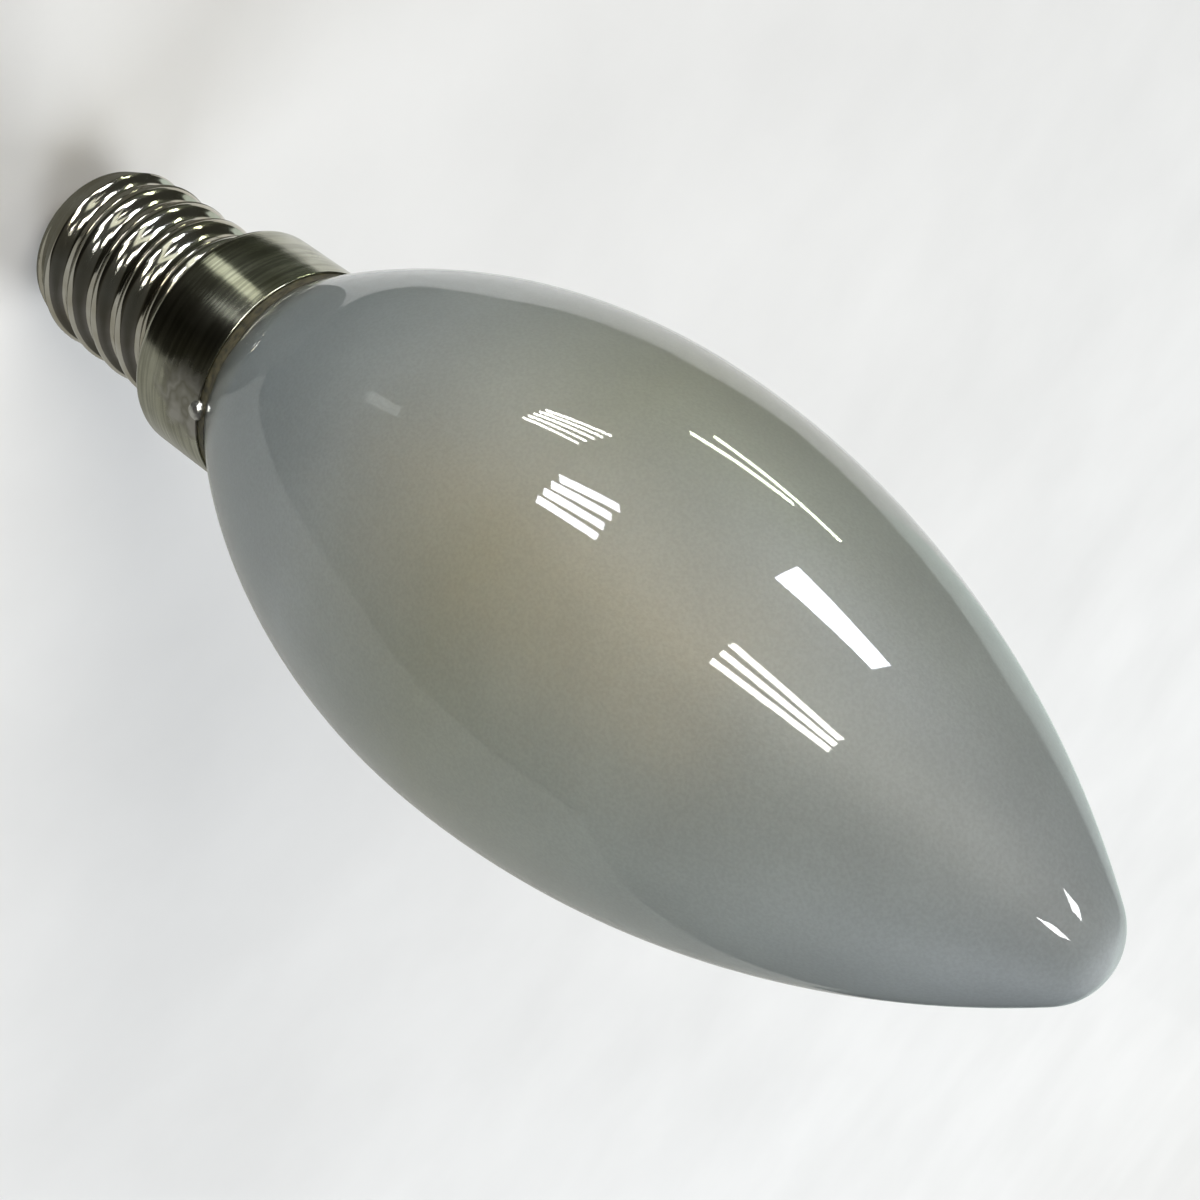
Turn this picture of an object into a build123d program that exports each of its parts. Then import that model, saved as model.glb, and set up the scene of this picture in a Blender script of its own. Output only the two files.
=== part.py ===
from build123d import *
import os
from math import acos, atan2, cos, degrees, pi, sin

os.makedirs("parts", exist_ok=True)

# All sizes are in millimetres. The lamp's axis is Z: Z = 0 is the outer face of the end contact,
# and the glass tip points up. The front of the lamp faces -Y.

# Glass envelope: a shoulder arc and a front arc that share a tangent at the belly, and a round nose.
OVERALL_LENGTH = 96.0
BULB_DIAMETER = 35.0
BELLY_HEIGHT = 53.9
NOSE_RADIUS = 4.6
GLASS_WALL = 0.7
NECK_FILLET = 3.0
NECK_DEPTH = 4.8

# Screw shell: one pressed sheet with a rolled E14 thread, a shoulder and a plain skirt.
CAP_HEIGHT = 25.0
CAP_END = 2.8
SHEET = 0.3
SKIRT_DIAMETER = 17.3
SKIRT_LENGTH = 7.1
SHOULDER_RADIUS = 0.8
THREAD_DIAMETER = 13.89
THREAD_DEPTH = 0.80
THREAD_PITCH = 2.822
FRONT_CREST_HEIGHT = 5.1
ROOT_LAND = 0.03
END_STEP = 0.2
END_CHAMFER = 0.5
LEAD_IN_SLOPE = 0.4
LIP_WIDTH = 0.9

# Glass in the cap: clearance at the rim, clearance round the neck, and the cement between.
MOUTH_GAP = 0.28
NECK_GAP = 0.75
CEMENT_LIFT = 0.4
CEMENT_RECESS = 0.8

# Insulating plug and riveted end contact.
CONTACT_RADIUS = 2.8
CONTACT_THICKNESS = 0.7
CONTACT_CHAMFER = 0.25
PLUG_TAPER = 1.3
PLUG_DEPTH = 1.5
SHANK_RADIUS = 0.9
SHANK_PROUD = 0.4

# Stem: flare, tube, pinch, sealed exhaust tube and centre rod with a bead.
FLARE_RIM = 0.8
FLARE_LENGTH = 4.4
STEM_RADIUS = 3.2
STEM_WALL = 0.8
STEM_LENGTH = 3.4
PINCH_TAPER = 3.5
PINCH_LENGTH = 3.0
PINCH_HALF_WIDTH = 3.6
PINCH_HALF_DEPTH = 1.5
EXHAUST_RADIUS = 1.5
EXHAUST_BORE = 0.8
EXHAUST_DROP = 5.2
ROD_RADIUS = 1.2
BEAD_RADIUS = 1.7

# Four filaments in series round the rod, with flat end tabs welded to wires.
FILAMENT_LENGTH = 30.0
FILAMENT_RISE = 3.7
FILAMENT_CIRCLE = 4.4
FILAMENT_WIDTH = 1.6
FILAMENT_DEPTH = 1.1
FILAMENT_ROUNDING = 0.45
TAB_LENGTH = 2.2
TAB_WIDTH = 0.7
TAB_THICKNESS = 0.2
WIRE_DIAMETER = 0.5
WELD_LENGTH = 1.7
WELD_GAP = 0.02
LINK_OFFSET = 0.6

# Driver board under the stem, the parts on it, and the wires from it.
BOARD_WIDTH = 10.0
BOARD_THICKNESS = 1.0
BOARD_LIFT = 0.9
BOARD_CLEARANCE = 0.8
RECTIFIER_SIZE = (4.7, 1.5, 3.9)
REGULATOR_SIZE = (4.5, 1.5, 2.5)
RESISTOR_SIZE = (2.0, 0.5, 1.25)
PART_SPACING = 0.5
FUSE_RADIUS = 1.0
FUSE_OFFSET = 3.6
FUSE_CHAMFER = 0.3
NEUTRAL_DIAMETER = 0.4
NEUTRAL_OFFSET = 4.3
NEUTRAL_DROP = 0.5
SOLDER_RADIUS = 0.8
RIM_DOT_ANGLE = -52.0

bulb_radius = BULB_DIAMETER / 2
skirt_radius = SKIRT_DIAMETER / 2
skirt_bore = skirt_radius - SHEET
shoulder_height = CAP_HEIGHT - SKIRT_LENGTH
neck_radius = skirt_bore - NECK_GAP
neck_end = CAP_HEIGHT - NECK_DEPTH
crest_radius = THREAD_DIAMETER / 2
root_radius = crest_radius - THREAD_DEPTH
half_pitch = THREAD_PITCH / 2


def turned(face):
    """A solid of revolution from a face drawn as (radius, height)."""
    return revolve(Plane.XZ * face, Axis.Z)


def turned_outline(*points):
    return turned(make_face(Polyline(*points, close=True)))


def corner_of(face, point):
    """The corner of a flat face that is nearest to a point."""
    return face.vertices().sort_by_distance(point)[0]


def upright(radius, low, high):
    """A cylinder on the axis between two heights."""
    return extrude(Plane((0, 0, low)) * Circle(radius), high - low)


def wire_along(diameter, *points):
    """A round wire in straight runs with mitred corners."""
    path = Polyline(*points)
    start = Plane(origin=path @ 0, z_dir=path % 0)
    return sweep(start * Circle(diameter / 2), path=path, transition=Transition.RIGHT)


def polar(radius, angle, height):
    point = Vector(radius, 0, height).rotate(Axis.Z, angle)
    return (point.X, point.Y, point.Z)


# The shoulder arc runs from the mouth of the cap to the belly, and the front arc from the belly
# to the nose. Both run along the axis at the belly, so the wall is smooth there.
mouth_radius = skirt_bore - MOUTH_GAP
mouth_drop = BELLY_HEIGHT - CAP_HEIGHT
mouth_inset = bulb_radius - mouth_radius
shoulder_arc = (mouth_drop**2 + mouth_inset**2) / (2 * mouth_inset)
nose_height = OVERALL_LENGTH - NOSE_RADIUS
nose_rise = nose_height - BELLY_HEIGHT
front_arc = (nose_rise**2 + bulb_radius**2 - NOSE_RADIUS**2) / (2 * (bulb_radius - NOSE_RADIUS))
nose_angle = degrees(atan2(nose_rise, front_arc - bulb_radius))


def short_arcs(centre, radius, start, turn, runs=6):
    """One long arc drawn in short runs, which keeps the facets of a wide wall few."""
    step = turn / runs
    return [CenterArc(centre, radius, start + i * step, step) for i in range(runs)]


def glass_form(inset):
    """The solid inside the glass surface moved inward by inset, flat across the neck's end."""
    shoulder_centre = (bulb_radius - shoulder_arc, BELLY_HEIGHT)
    front_centre = (bulb_radius - front_arc, BELLY_HEIGHT)
    neck = neck_radius - inset
    neck_angle = degrees(acos((neck - shoulder_centre[0]) / (shoulder_arc - inset)))
    wall = short_arcs(shoulder_centre, shoulder_arc - inset, -neck_angle, neck_angle)
    wall += short_arcs(front_centre, front_arc - inset, 0, nose_angle)
    wall += [CenterArc((0, nose_height), NOSE_RADIUS - inset, nose_angle, 90 - nose_angle)]
    foot = wall[0] @ 0
    tip = wall[-1] @ 1
    wall += [Line((neck, neck_end), foot)]
    wall += [Line((0, neck_end), (neck, neck_end))]
    wall += [Line((0, neck_end), tip)]
    return turned(fillet(corner_of(make_face(wall), foot), NECK_FILLET + inset))


glass_outside = glass_form(0)
glass_envelope = glass_outside - glass_form(GLASS_WALL)

# The thread is a wave of two equal arcs, tangent to each other halfway up the flank.
wave_radius = (THREAD_DEPTH**2 + half_pitch**2) / (4 * THREAD_DEPTH)
flank_angle = atan2(half_pitch, 2 * wave_radius - THREAD_DEPTH)
crest_centre = crest_radius - wave_radius
root_centre = root_radius + wave_radius
thread_start = FRONT_CREST_HEIGHT - 1.75 * THREAD_PITCH
thread_rise = shoulder_height + THREAD_PITCH - thread_start


def thread_ridge(inset):
    """One ridge of the wave in seven flats, swept along the helix, with its foot sunk in the core."""
    crest_arc = wave_radius - inset
    root_arc = wave_radius + inset
    foot_angle = acos(1 - ROOT_LAND / 2 / root_arc)
    side = [(root_radius - inset - SHEET, half_pitch - root_arc * sin(foot_angle))]
    for angle in (foot_angle, flank_angle / 2):
        side.append((root_centre - root_arc * cos(angle), half_pitch - root_arc * sin(angle)))
    for angle in (flank_angle, flank_angle / 3):
        side.append((crest_centre + crest_arc * cos(angle), crest_arc * sin(angle)))
    other_side = [(radius, -height) for radius, height in reversed(side)]
    ridge = make_face(Polyline(*side, *other_side, close=True))
    helix = Helix(THREAD_PITCH, thread_rise, crest_radius, center=(0, 0, thread_start))
    return sweep(Pos(0, 0, thread_start) * (Plane.XZ * ridge), path=helix, is_frenet=True)


end_radius = root_radius - END_STEP


def cap_form(inset, rim):
    """The solid inside the cap's outer face moved inward by inset, cut flat at the rim height."""
    low = CAP_END + inset
    end = end_radius - inset
    core = upright(root_radius + ROOT_LAND - inset, low, rim)
    clear = end + (rim - low) * LEAD_IN_SLOPE
    lead_in = make_face(Polyline((0, low), (end, low), (clear, rim), (0, rim), close=True))
    lead_in = chamfer(corner_of(lead_in, (end, low, 0)), END_CHAMFER - inset)
    step = shoulder_height + inset
    wide = skirt_radius - inset
    skirt = make_face(Polyline((0, step), (wide, step), (wide, rim), (0, rim), close=True))
    skirt = fillet(corner_of(skirt, (wide, step, 0)), SHOULDER_RADIUS - inset)
    threaded = (core + thread_ridge(inset)) & turned(lead_in)
    return threaded + turned(skirt)


lip_radius = end_radius - LIP_WIDTH
lip_top = CAP_END + SHEET
lip_opening = upright(lip_radius, CAP_END - SHEET, lip_top + SHEET)
screw_shell = cap_form(0, CAP_HEIGHT) - cap_form(SHEET, CAP_HEIGHT + SHEET) - lip_opening
rim_edges = screw_shell.edges().filter_by(GeomType.CIRCLE).group_by(Axis.Z)[-1]
screw_shell = chamfer(rim_edges, SHEET / 3)

# The plug is moulded into the turned-in lip and bears on it from inside.
flange_radius = end_radius - END_CHAMFER
plug_top = lip_top + PLUG_DEPTH
shank_top = plug_top + SHANK_PROUD
base_insulator = turned_outline(
    (SHANK_RADIUS, CONTACT_THICKNESS),
    (lip_radius - PLUG_TAPER, CONTACT_THICKNESS),
    (lip_radius, CAP_END),
    (lip_radius, lip_top),
    (flange_radius, lip_top),
    (flange_radius, plug_top),
    (SHANK_RADIUS, plug_top),
)
centre_contact = turned_outline(
    (0, 0),
    (CONTACT_RADIUS - CONTACT_CHAMFER, 0),
    (CONTACT_RADIUS, CONTACT_CHAMFER),
    (CONTACT_RADIUS, CONTACT_THICKNESS),
    (SHANK_RADIUS, CONTACT_THICKNESS),
    (SHANK_RADIUS, shank_top),
    (0, shank_top),
)

# Heights up the stem, from the end of the neck to the tops of the filaments.
flare_low = neck_end - FLARE_RIM
flare_top = neck_end + FLARE_LENGTH
pinch_low = flare_top + STEM_LENGTH
pinch_middle = pinch_low + PINCH_TAPER
pinch_top = pinch_middle + PINCH_LENGTH
filament_low = pinch_top + FILAMENT_RISE
filament_top = filament_low + FILAMENT_LENGTH
low_corner = filament_low - TAB_LENGTH - WIRE_DIAMETER
low_weld = filament_low - TAB_LENGTH + WELD_LENGTH
high_corner = filament_top + TAB_LENGTH + WIRE_DIAMETER
high_weld = filament_top + TAB_LENGTH - WELD_LENGTH
weld_circle = FILAMENT_CIRCLE - TAB_THICKNESS / 2 - WELD_GAP - WIRE_DIAMETER / 2

# The mount inside the lamp is drawn with the neutral wire on +X and turned to its place at the end.
filaments = []
tabs = []
for angle in (45, 135, 225, 315):
    place = Rot(0, 0, angle) * Pos(FILAMENT_CIRCLE, 0, filament_low)
    strip = RectangleRounded(FILAMENT_DEPTH, FILAMENT_WIDTH, FILAMENT_ROUNDING)
    filaments.append(place * extrude(strip, FILAMENT_LENGTH))
    tab = Box(TAB_THICKNESS, TAB_WIDTH, TAB_LENGTH)
    tabs.append(place * Pos(0, 0, -TAB_LENGTH / 2) * tab)
    tabs.append(place * Pos(0, 0, FILAMENT_LENGTH + TAB_LENGTH / 2) * tab)
filament_tabs = Compound(children=tabs)


def upper_link(start, end, side):
    """A bent wire through the bead that joins the tops of two filaments."""
    return wire_along(
        WIRE_DIAMETER,
        polar(weld_circle, start, high_weld),
        polar(weld_circle, start, high_corner),
        (0, side * LINK_OFFSET, high_corner),
        polar(weld_circle, end, high_corner),
        polar(weld_circle, end, high_weld),
    )


upper_link_front = upper_link(225, 315, -1)
upper_link_rear = upper_link(135, 45, 1)
lower_link = wire_along(
    WIRE_DIAMETER,
    polar(weld_circle, 135, low_weld),
    polar(weld_circle, 135, low_corner),
    polar(weld_circle, 315, low_corner),
    polar(weld_circle, 315, low_weld),
)

# The leads stand on the board's top edge and rise between the stem tube and the exhaust tube.
stem_bore = STEM_RADIUS - STEM_WALL
exhaust_tip = neck_end - EXHAUST_DROP
board_top = exhaust_tip - BOARD_CLEARANCE
lead_offset = (stem_bore + EXHAUST_RADIUS) / 2
lead_knee = (pinch_top + low_corner) / 2


def lead_wire(side, weld_angle):
    return wire_along(
        WIRE_DIAMETER,
        (side * lead_offset, 0, board_top),
        (side * lead_offset, 0, lead_knee),
        polar(weld_circle, weld_angle, low_corner),
        polar(weld_circle, weld_angle, low_weld),
    )


lead_wire_front = lead_wire(1, 45)
lead_wire_rear = lead_wire(-1, 225)

# The flare is fused to the end of the neck, and the pinch closes the tube round the leads.
flare_edge = neck_radius - 2 * GLASS_WALL
flare = turned_outline(
    (neck_radius, flare_low),
    (neck_radius, neck_end),
    (flare_edge, neck_end),
    (STEM_RADIUS, flare_top),
    (STEM_RADIUS, pinch_low),
    (stem_bore, pinch_low),
    (stem_bore, flare_top),
    (flare_edge - STEM_WALL, flare_low),
)
oval = Plane((0, 0, pinch_middle)) * Ellipse(PINCH_HALF_WIDTH, PINCH_HALF_DEPTH)
pinch = loft([Plane((0, 0, pinch_low)) * Circle(STEM_RADIUS), oval]) + extrude(oval, PINCH_LENGTH)
exhaust = upright(EXHAUST_RADIUS, exhaust_tip, pinch_low)
exhaust = chamfer(exhaust.edges().group_by(Axis.Z)[0], EXHAUST_RADIUS - EXHAUST_BORE)
exhaust -= upright(EXHAUST_BORE, exhaust_tip + EXHAUST_RADIUS, pinch_low)
rod = upright(ROD_RADIUS, pinch_top, high_corner) + Pos(0, 0, high_corner) * Sphere(BEAD_RADIUS)
glass_stem = flare + pinch + exhaust + rod
for wire in (lead_wire_front, lead_wire_rear, lower_link, upper_link_front, upper_link_rear):
    glass_stem -= wire

# The board hangs from the leads, with its parts flat on its two faces.
board_low = shank_top + BOARD_LIFT
board_height = board_top - board_low
board_middle = (board_low + board_top) / 2
board_face = BOARD_THICKNESS / 2
driver_board = Pos(0, 0, board_middle) * Box(BOARD_WIDTH, BOARD_THICKNESS, board_height)


def on_board(size, side, across, height):
    """A flat part on one face of the board."""
    return Pos(across, side * (board_face + size[1] / 2), height) * Box(*size)


bridge_rectifier = on_board(RECTIFIER_SIZE, 1, 0, board_middle)
current_regulator = on_board(REGULATOR_SIZE, -1, 0, board_middle)
beside_regulator = REGULATOR_SIZE[0] / 2 + PART_SPACING + RESISTOR_SIZE[0] / 2
sense_resistor = on_board(RESISTOR_SIZE, -1, beside_regulator, board_middle)

# The fuse resistor feeds the board from the end contact.
fuse_low = board_low + board_height / 10
fuse_high = board_low + 0.7 * board_height
fuse_lead_top = board_low + 0.85 * board_height
fuse_resistor = Pos(0, -FUSE_OFFSET, 0) * upright(FUSE_RADIUS, fuse_low, fuse_high)
fuse_resistor = chamfer(fuse_resistor.edges().filter_by(GeomType.CIRCLE), FUSE_CHAMFER)
contact_lead_height = shank_top + WELD_GAP + WIRE_DIAMETER / 2
contact_lead = wire_along(
    WIRE_DIAMETER,
    (0, -FUSE_OFFSET, fuse_low),
    (0, -FUSE_OFFSET, contact_lead_height),
    (0, SHANK_RADIUS, contact_lead_height),
)
board_lead = wire_along(
    WIRE_DIAMETER,
    (0, -FUSE_OFFSET, fuse_high),
    (0, -FUSE_OFFSET, fuse_lead_top),
    (0, -board_face - WELD_GAP, fuse_lead_top),
)

# The neutral wire passes under the flare into the cement gap and ends at the rim in a solder dot.
neutral_circle = skirt_bore - WELD_GAP - NEUTRAL_DIAMETER / 2
neutral_crossing = (shoulder_height + SHEET + flare_low) / 2
neutral_wire = wire_along(
    NEUTRAL_DIAMETER,
    (NEUTRAL_OFFSET, 0, board_top),
    (NEUTRAL_OFFSET, 0, neutral_crossing),
    (neutral_circle, 0, neutral_crossing),
    (neutral_circle, 0, CAP_HEIGHT - NEUTRAL_DROP),
)
cap_cement = upright(skirt_bore, neck_end + CEMENT_LIFT, CAP_HEIGHT - CEMENT_RECESS)
cap_cement = cap_cement - glass_outside - neutral_wire
side_solder = Pos((skirt_radius + skirt_bore) / 2, 0, CAP_HEIGHT) * Sphere(SOLDER_RADIUS)
side_solder = side_solder - screw_shell - glass_outside - cap_cement - neutral_wire

fixed = {
    "glass_envelope": glass_envelope,
    "screw_shell": screw_shell,
    "base_insulator": base_insulator,
    "centre_contact": centre_contact,
}
mount = {
    "glass_stem": glass_stem,
    "filament_tabs": filament_tabs,
    "upper_link_front": upper_link_front,
    "upper_link_rear": upper_link_rear,
    "lower_link": lower_link,
    "lead_wire_front": lead_wire_front,
    "lead_wire_rear": lead_wire_rear,
    "driver_board": driver_board,
    "bridge_rectifier": bridge_rectifier,
    "current_regulator": current_regulator,
    "sense_resistor": sense_resistor,
    "fuse_resistor": fuse_resistor,
    "contact_lead": contact_lead,
    "board_lead": board_lead,
    "neutral_wire": neutral_wire,
    "cap_cement": cap_cement,
    "side_solder": side_solder,
}
for number, filament in enumerate(filaments, 1):
    mount[f"filament_{number}"] = filament
for name, shape in fixed.items():
    export_step(shape, f"parts/{name}.step")
for name, shape in mount.items():
    export_step(Rot(0, 0, RIM_DOT_ANGLE) * shape, f"parts/{name}.step")
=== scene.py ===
# %% [markdown]
# # A frosted candle lamp
# The lamp is 96 mm long: a blown glass candle with a satin frosting, set with cement in a small
# nickel-plated screw cap. The solids of the lamp are loaded first and stay where they are. The
# pieces that carry the look, the glass and the turned and rolled metal, are then drawn again with
# fine round surfaces of the same form, because a mirror-like finish shows every flat of a coarse mesh.

# %% Load the solids
from math import asin, atan2, cos, hypot, pi, radians, sin, sqrt

import bmesh
import bpy
from mathutils import Matrix, Vector, noise


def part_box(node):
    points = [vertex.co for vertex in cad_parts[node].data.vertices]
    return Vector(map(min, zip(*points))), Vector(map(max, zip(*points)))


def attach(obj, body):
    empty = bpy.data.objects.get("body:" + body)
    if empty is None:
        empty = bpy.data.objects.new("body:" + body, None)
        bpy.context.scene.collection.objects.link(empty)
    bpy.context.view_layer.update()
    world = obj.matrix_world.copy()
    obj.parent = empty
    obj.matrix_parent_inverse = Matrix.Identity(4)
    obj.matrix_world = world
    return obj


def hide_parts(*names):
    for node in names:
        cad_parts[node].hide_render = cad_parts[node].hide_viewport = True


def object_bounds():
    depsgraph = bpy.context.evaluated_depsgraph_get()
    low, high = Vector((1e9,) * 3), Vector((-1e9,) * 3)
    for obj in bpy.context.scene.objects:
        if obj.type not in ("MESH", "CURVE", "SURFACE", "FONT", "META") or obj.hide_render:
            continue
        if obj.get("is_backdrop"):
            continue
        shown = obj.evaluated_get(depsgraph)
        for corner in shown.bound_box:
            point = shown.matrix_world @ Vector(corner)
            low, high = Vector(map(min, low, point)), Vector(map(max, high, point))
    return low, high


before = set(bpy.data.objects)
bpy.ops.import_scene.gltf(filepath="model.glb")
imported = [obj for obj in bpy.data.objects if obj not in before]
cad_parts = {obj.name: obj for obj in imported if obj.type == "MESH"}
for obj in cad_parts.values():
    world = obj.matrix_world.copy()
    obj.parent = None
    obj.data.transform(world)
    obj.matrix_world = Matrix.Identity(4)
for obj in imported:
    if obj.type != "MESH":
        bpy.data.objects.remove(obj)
cad_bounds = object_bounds()
MM = 0.001
print("solids:", ", ".join(sorted(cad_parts)))

# %% [markdown]
# ## Drawing a half section and turning it
# The glass and the cap are round, so each starts as a half section in the XZ plane. A straight run
# is an extruded vertex, and an arc is a vertex spun about the arc's centre. One full spin about Z
# then makes the piece. A Screw modifier could turn it as well, but a spun mesh has rows of points that
# can still be moved. Doubles on the seam and at the poles are merged before the normals are set, and
# edges that bend by more than 40 degrees stay sharp.

# %% Section helpers
CREASE, ROUND_STEPS = radians(40), 176


def start_at(bm, radius, height):
    """The first vertex of a section, from its radius and height in mm."""
    return bm.verts.new((radius * MM, 0, height * MM))


def run_to(bm, vert, radius, height):
    """A straight run from a vertex of the section to a new one."""
    end = bmesh.ops.extrude_vert_indiv(bm, verts=[vert])["verts"][0]
    end.co = (radius * MM, 0, height * MM)
    return end


def arc_about(bm, vert, radius, height, turn, steps):
    """An arc from a vertex about a centre in the section, positive from the radius towards the tip."""
    made = bmesh.ops.spin(bm, geom=[vert], cent=(radius * MM, 0, height * MM), axis=(0, -1, 0),
                          angle=turn, steps=steps)
    return next(item for item in made["geom_last"] if isinstance(item, bmesh.types.BMVert))


def full_turn(bm, steps):
    """Spins the whole section about the lamp's axis and closes the seam and the poles."""
    bmesh.ops.spin(bm, geom=bm.verts[:] + bm.edges[:], cent=(0, 0, 0), axis=(0, 0, 1),
                   angle=2 * pi, steps=steps, use_merge=True)
    bmesh.ops.remove_doubles(bm, verts=bm.verts, dist=1e-7)
    bmesh.ops.recalc_face_normals(bm, faces=bm.faces)


def lamp_piece(bm, name, stands_for=None):
    """Makes the mesh an object of the lamp, mostly in place of a solid, with its sharp edges kept."""
    mesh = bpy.data.meshes.new(name)
    bm.to_mesh(mesh)
    bm.free()
    mesh.polygons.foreach_set("use_smooth", [True] * len(mesh.polygons))
    mesh.set_sharp_from_angle(angle=CREASE)
    piece = bpy.data.objects.new(name, mesh)
    bpy.context.scene.collection.objects.link(piece)
    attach(piece, "root")
    tall = max(v.co.z for v in mesh.vertices) - min(v.co.z for v in mesh.vertices)
    print(f"{name}: {len(mesh.polygons)} faces, {tall / MM:.2f} mm tall")
    if stands_for:
        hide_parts(stands_for)
        low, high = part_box(stands_for)
        print(f"  stands for {stands_for}, {(high.z - low.z) / MM:.2f} mm tall")
    return piece


print("steps in a full turn of the glass and the cap:", ROUND_STEPS)

# %% [markdown]
# ## The glass
# A candle bulb is blown in a mould: a short neck, a small fillet, a long shoulder arc to the belly,
# a flatter arc to the front and a round nose. It has one wall of 0.7 mm, so the inside follows the
# same centres with every radius changed by the wall. Solidify could add that wall, but drawn like this
# both sides are true arcs. The section starts at the end of the neck and runs up the outside and up the
# inside, and the spin closes both sides at their tips.

# %% Glass envelope
BELLY_RADIUS, BELLY_HEIGHT = 17.5, 53.9
NOSE_RADIUS, TIP_HEIGHT = 4.6, 96.0
MOUTH_RADIUS, MOUTH_HEIGHT = 8.07, 25.0
NECK_RADIUS, NECK_END, NECK_FILLET = 7.6, 20.2, 3.0
GLASS_WALL = 0.7

mouth_inset = BELLY_RADIUS - MOUTH_RADIUS
shoulder_arc = ((BELLY_HEIGHT - MOUTH_HEIGHT) ** 2 + mouth_inset**2) / (2 * mouth_inset)
shoulder_x = BELLY_RADIUS - shoulder_arc
nose_height = TIP_HEIGHT - NOSE_RADIUS
nose_rise = nose_height - BELLY_HEIGHT
front_arc = (nose_rise**2 + BELLY_RADIUS**2 - NOSE_RADIUS**2) / (2 * (BELLY_RADIUS - NOSE_RADIUS))
front_x = BELLY_RADIUS - front_arc
front_turn = atan2(nose_rise, -front_x)
fillet_x = NECK_RADIUS + NECK_FILLET
fillet_height = BELLY_HEIGHT - sqrt((shoulder_arc + NECK_FILLET) ** 2 - (fillet_x - shoulder_x) ** 2)
shoulder_turn = atan2(BELLY_HEIGHT - fillet_height, fillet_x - shoulder_x)


def glass_wall(bm, vert, inset):
    """One side of the glass wall, from the end of the neck to the tip."""
    vert = run_to(bm, vert, NECK_RADIUS - inset, fillet_height)
    vert = arc_about(bm, vert, fillet_x, fillet_height, -shoulder_turn, 10)
    vert = arc_about(bm, vert, shoulder_x, BELLY_HEIGHT, shoulder_turn, 40)
    vert = arc_about(bm, vert, front_x, BELLY_HEIGHT, front_turn, 48)
    vert = arc_about(bm, vert, 0, nose_height, pi / 2 - front_turn, 14)
    vert.co.x = 0


bm = bmesh.new()
outside = start_at(bm, NECK_RADIUS, NECK_END)
inside = run_to(bm, outside, NECK_RADIUS - GLASS_WALL, NECK_END)
glass_wall(bm, outside, 0)
glass_wall(bm, inside, GLASS_WALL)
full_turn(bm, ROUND_STEPS)
glass = lamp_piece(bm, "candle_glass", "glass_envelope")

# %% [markdown]
# ## The screw shell
# The cap is pressed from 0.3 mm sheet, and its thread is rolled into the sheet, so inside and
# outside both carry the wave. The section is spun smooth first, with many fine rows where the thread
# will be. Each of those rows is then moved in or out by the wave of the thread: two equal arcs that
# meet halfway up the flank, climbing one pitch for each turn. A cone trims the wave where the thread
# starts, as the rolling tool leaves it. A tooth swept along a helix would have to be cut at both ends,
# and the moved rows run into the cone and the shoulder by themselves.

# %% The thread's wave
CAP_END, CAP_RIM, SHEET = 2.8, 25.0, 0.3
CREST_RADIUS, THREAD_DEPTH, PITCH = 6.945, 0.80, 2.822
FRONT_CREST, ROOT_LAND, LEAD_SLOPE, END_STEP = 5.1, 0.03, 0.4, 0.2
ROOT_RADIUS = CREST_RADIUS - THREAD_DEPTH
END_RADIUS = ROOT_RADIUS - END_STEP
wave_arc = (THREAD_DEPTH**2 + (PITCH / 2) ** 2) / (4 * THREAD_DEPTH)


def thread_radius(angle, height, inset):
    """Radius of the rolled sheet at an angle about Z and a height, in mm."""
    climb = (angle + pi / 2) / (2 * pi) * PITCH
    off_crest = abs((height - FRONT_CREST - climb + PITCH / 2) % PITCH - PITCH / 2)
    crest_arc, root_arc = wave_arc - inset, wave_arc + inset
    if off_crest < crest_arc * PITCH / 4 / wave_arc:
        wave = CREST_RADIUS - wave_arc + sqrt(crest_arc**2 - off_crest**2)
    else:
        wave = ROOT_RADIUS + wave_arc - sqrt(root_arc**2 - (PITCH / 2 - off_crest) ** 2)
    core = ROOT_RADIUS + ROOT_LAND - inset
    lead_in = END_RADIUS + LEAD_SLOPE * (height - CAP_END) - inset * hypot(1, LEAD_SLOPE)
    return min(max(wave, core), lead_in)


print(f"thread arc {wave_arc:.3f} mm, crest {thread_radius(-pi / 2, FRONT_CREST + PITCH, 0):.3f} mm")

# %% Sizes of the shell
LIP_RADIUS, SHOULDER_HEIGHT, SKIRT_RADIUS = 5.045, 17.9, 8.65
SHOULDER_ROUND, RIM_ROUND, END_SETBACK = 0.8, 0.1, 0.5
lead_angle = atan2(1, LEAD_SLOPE)
end_round = END_SETBACK / (sin(lead_angle) - LEAD_SLOPE * (1 - cos(lead_angle)))
end_x = END_RADIUS - END_SETBACK
end_height = CAP_END + end_round
shoulder_edge = SKIRT_RADIUS - SHOULDER_ROUND
skirt_low = SHOULDER_HEIGHT + SHOULDER_ROUND
outer_end, inner_end = [(end_x + arc * sin(lead_angle), end_height - arc * cos(lead_angle))
                        for arc in (end_round, end_round - SHEET)]
print(f"end rounded by {end_round:.2f} mm, skirt straight from {skirt_low:.1f} mm up")

# %% Smooth shell
THREAD_ROWS = 150


def thread_run(bm, vert, radius, height):
    """A run of fine rows for the wave."""
    start_radius, start_height = vert.co.x / MM, vert.co.z / MM
    for row in range(1, THREAD_ROWS + 1):
        share = row / THREAD_ROWS
        row_radius = start_radius + (radius - start_radius) * share
        row_height = start_height + (height - start_height) * share
        vert = run_to(bm, vert, row_radius, row_height)
    return vert


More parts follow.
